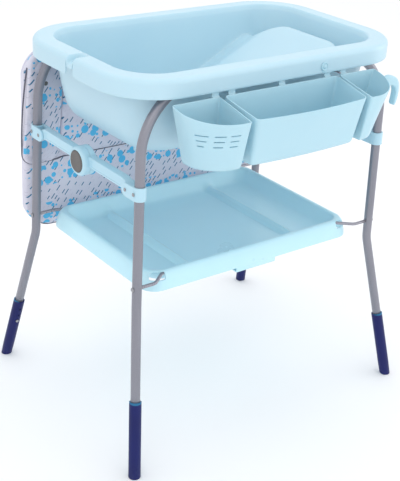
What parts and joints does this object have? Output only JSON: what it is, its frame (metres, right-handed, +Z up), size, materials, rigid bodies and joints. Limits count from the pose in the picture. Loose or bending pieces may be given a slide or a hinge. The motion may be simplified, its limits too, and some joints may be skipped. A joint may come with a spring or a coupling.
{
  "type": "baby bath and changing table",
  "caption": "Folding stand with two tube frames that carries a baby bath, a storage tray, clip-on boxes and a padded changing mat hung at the rear.",
  "frame": {"origin": "on the floor, under the middle of the overall box of the opened stand with its mat hanging behind", "axes": "+X along the long side of the tub, towards its back-rest end; -Y is the front with the clip-on boxes; +Z up"},
  "size_m": [0.8412, 0.6948, 0.902],
  "materials": {
    "tube_grey": "satin grey paint on steel tube",
    "wire_grey": "satin grey paint on steel",
    "steel": "satin",
    "brace_blue": "satin moulded plastic",
    "navy": "satin moulded plastic",
    "disc_grey": "fine matt texture",
    "board": "matt",
    "mat_fabric": "coated printed cloth over foam",
    "tray_blue": "satin moulded plastic",
    "tub_blue": "satin moulded plastic"
  },
  "bodies": {
    "rear_frame": {"rear_frame_tube": "tube_grey", "rear_rod": "wire_grey", "rod_bolt_rear_left": "steel", "rod_bolt_rear_right": "steel", "clamp_rear_left": "brace_blue", "clamp_rear_right": "brace_blue", "clamp_rivet_rear_left": "steel", "clamp_rivet_rear_right": "steel", "pivot_pin_rear_left": "steel", "pivot_pin_rear_right": "steel", "mat_bracket_left": "wire_grey", "mat_bracket_right": "wire_grey", "mat_pin_left": "steel", "mat_pin_right": "steel"},
    "front_frame": {"front_frame_tube": "tube_grey", "front_rod": "wire_grey", "rod_bolt_front_left": "steel", "rod_bolt_front_right": "steel", "clamp_front_left": "brace_blue", "clamp_front_right": "brace_blue", "clamp_rivet_front_left": "steel", "clamp_rivet_front_right": "steel", "pivot_pin_front_left": "steel", "pivot_pin_front_right": "steel", "wire_hook": "wire_grey"},
    "tub": {"tub": "tub_blue"},
    "rim_plug": {"rim_plug": "tub_blue"},
    "tray": {"tray": "tray_blue"},
    "left_cup": {"left_cup": "tub_blue"},
    "centre_box": {"centre_box": "tub_blue"},
    "right_cup": {"right_cup": "tub_blue"},
    "mat": {"mat_board": "board", "mat_pad": "mat_fabric", "mat_panel": "mat_fabric", "mat_bolster_left": "mat_fabric", "mat_bolster_right": "mat_fabric", "mat_arm_left": "wire_grey", "mat_arm_right": "wire_grey"},
    "rear_arm_left": {"brace_rear_left": "brace_blue", "hub_pin_left": "steel"},
    "front_arm_left": {"brace_front_left": "brace_blue"},
    "hub_button_left": {"hub_button_left": "disc_grey"},
    "foot_rear_left": {"foot_rear_left": "navy"},
    "foot_button_rear_left": {"foot_button_rear_left": "steel"},
    "foot_front_left": {"foot_front_left": "navy"},
    "foot_button_front_left": {"foot_button_front_left": "steel"},
    "rear_arm_right": {"brace_rear_right": "brace_blue", "hub_pin_right": "steel"},
    "front_arm_right": {"brace_front_right": "brace_blue"},
    "hub_button_right": {"hub_button_right": "disc_grey"},
    "foot_rear_right": {"foot_rear_right": "navy"},
    "foot_button_rear_right": {"foot_button_rear_right": "steel"},
    "foot_front_right": {"foot_front_right": "navy"},
    "foot_button_front_right": {"foot_button_front_right": "steel"}
  },
  "joints": [
    {"name": "fold", "type": "hinge", "parent": "rear_frame", "child": "rear_arm_left", "pos_m": [-0.352, 0.2044, 0.656], "axis": [-1, 0, 0], "range_deg": [0, 78]},
    {"name": "fold_hub_left", "type": "hinge", "parent": "rear_arm_left", "child": "front_arm_left", "pos_m": [-0.352, 0.0164, 0.656], "axis": [1, 0, 0], "range_deg": [0, 156]},
    {"name": "fold_front", "type": "hinge", "parent": "front_arm_left", "child": "front_frame", "pos_m": [-0.352, -0.1716, 0.656], "axis": [-1, 0, 0], "range_deg": [0, 78]},
    {"name": "fold_rear_right", "type": "hinge", "parent": "rear_frame", "child": "rear_arm_right", "pos_m": [0.352, 0.2044, 0.656], "axis": [-1, 0, 0], "range_deg": [0, 78]},
    {"name": "fold_hub_right", "type": "hinge", "parent": "rear_arm_right", "child": "front_arm_right", "pos_m": [0.352, 0.0164, 0.656], "axis": [1, 0, 0], "range_deg": [0, 156]},
    {"name": "tub_lift", "type": "slide", "parent": "rear_frame", "child": "tub", "axis": [0, 0, 1], "range_m": [0, 0.6263]},
    {"name": "tray_lift", "type": "slide", "parent": "rear_frame", "child": "tray", "axis": [0, 0, 1], "range_m": [0, 0.2588]},
    {"name": "mat_flip", "type": "hinge", "parent": "rear_frame", "child": "mat", "pos_m": [0, 0.3394, 0.868], "axis": [-1, 0, 0], "range_deg": [-270, 0]},
    {"name": "hub_button_press_left", "type": "slide", "parent": "rear_arm_left", "child": "hub_button_left", "axis": [1, 0, 0], "range_m": [0, 0.003], "stiffness_N_per_m": 600},
    {"name": "foot_slide_rear_left", "type": "slide", "parent": "rear_frame", "child": "foot_rear_left", "axis": [-0.1262, 0.215, -0.9684], "range_m": [0, 0.038]},
    {"name": "foot_button_press_rear_left", "type": "slide", "parent": "foot_rear_left", "child": "foot_button_rear_left", "axis": [0.0278, 0.9766, 0.2132], "range_m": [0, 0.0015], "stiffness_N_per_m": 400},
    {"name": "foot_slide_front_left", "type": "slide", "parent": "front_frame", "child": "foot_front_left", "axis": [-0.1262, -0.215, -0.9684], "range_m": [0, 0.038]},
    {"name": "foot_button_press_front_left", "type": "slide", "parent": "foot_front_left", "child": "foot_button_front_left", "axis": [0.0278, -0.9766, 0.2132], "range_m": [0, 0.0015], "stiffness_N_per_m": 400},
    {"name": "hub_button_press_right", "type": "slide", "parent": "rear_arm_right", "child": "hub_button_right", "axis": [-1, 0, 0], "range_m": [0, 0.003], "stiffness_N_per_m": 600},
    {"name": "foot_slide_rear_right", "type": "slide", "parent": "rear_frame", "child": "foot_rear_right", "axis": [0.1262, 0.215, -0.9684], "range_m": [0, 0.038]},
    {"name": "foot_button_press_rear_right", "type": "slide", "parent": "foot_rear_right", "child": "foot_button_rear_right", "axis": [-0.0278, 0.9766, 0.2132], "range_m": [0, 0.0015], "stiffness_N_per_m": 400},
    {"name": "foot_slide_front_right", "type": "slide", "parent": "front_frame", "child": "foot_front_right", "axis": [0.1262, -0.215, -0.9684], "range_m": [0, 0.038]},
    {"name": "foot_button_press_front_right", "type": "slide", "parent": "foot_front_right", "child": "foot_button_front_right", "axis": [-0.0278, -0.9766, 0.2132], "range_m": [0, 0.0015], "stiffness_N_per_m": 400},
    {"name": "left_cup_pull", "type": "slide", "parent": "front_frame", "child": "left_cup", "axis": [0, 0, 1], "range_m": [-0.06, 0]},
    {"name": "centre_box_pull", "type": "slide", "parent": "front_frame", "child": "centre_box", "axis": [0, 0, 1], "range_m": [-0.06, 0]},
    {"name": "right_cup_pull", "type": "slide", "parent": "front_frame", "child": "right_cup", "axis": [0, 0, 1], "range_m": [-0.06, 0]},
    {"name": "plug_pull", "type": "slide", "parent": "tub", "child": "rim_plug", "axis": [0, -1, 0], "range_m": [0, 0.03]}
  ],
  "couplings": [
    {"joint": "fold_hub_left", "follows": "fold", "ratio": 2},
    {"joint": "fold_front", "follows": "fold", "ratio": 1},
    {"joint": "fold_rear_right", "follows": "fold", "ratio": 1},
    {"joint": "fold_hub_right", "follows": "fold", "ratio": 2},
    {"joint": "tub_lift", "follows": "fold", "m_per_rad": 0.46},
    {"joint": "tray_lift", "follows": "fold", "m_per_rad": 0.19}
  ]
}
